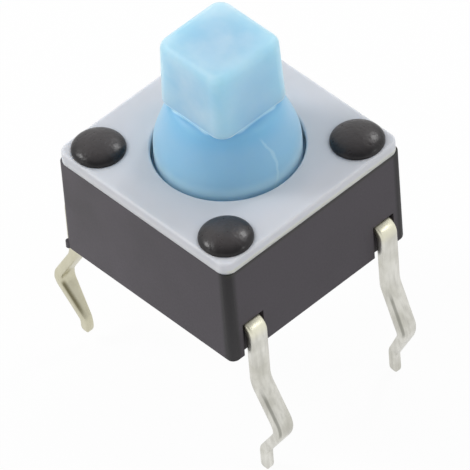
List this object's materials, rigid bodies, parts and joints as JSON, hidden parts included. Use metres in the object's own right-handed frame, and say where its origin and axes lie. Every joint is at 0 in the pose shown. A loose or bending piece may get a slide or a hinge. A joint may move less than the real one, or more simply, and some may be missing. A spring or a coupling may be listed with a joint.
{
  "type": "tactile push button switch",
  "caption": "Square through-hole tactile switch: dark housing, pale cover held by staked posts, blue square-headed push button and kinked leads.",
  "frame": {"origin": "centre of the housing's underside, where it seats on the circuit board", "axes": "+Z along the button's stroke, away from the board; the leads leave the housing through its -X and +X sides; the two lead frames run along X"},
  "size_m": [0.0081, 0.0061, 0.0112],
  "materials": {
    "housing_plastic": "moulded, fine matt",
    "cover_plastic": "moulded, milky, satin",
    "button_plastic": "moulded, slightly translucent, semi-gloss",
    "dome_steel": "rolled spring strip",
    "lead_plating": "silver-coloured plating over brass strip"
  },
  "bodies": {
    "switch_body": {"base_housing": "housing_plastic", "cover_plate": "cover_plastic", "terminal_front": "lead_plating", "terminal_rear": "lead_plating", "contact_dome": "dome_steel"},
    "button": {"plunger": "button_plastic"}
  },
  "joints": [
    {"name": "plunger_press", "type": "slide", "parent": "switch_body", "child": "button", "axis": [0, 0, -1], "range_m": [0, 0.00025], "stiffness_N_per_m": 2800, "springref_m": -0.0003, "deforming": ["contact_dome"]}
  ]
}
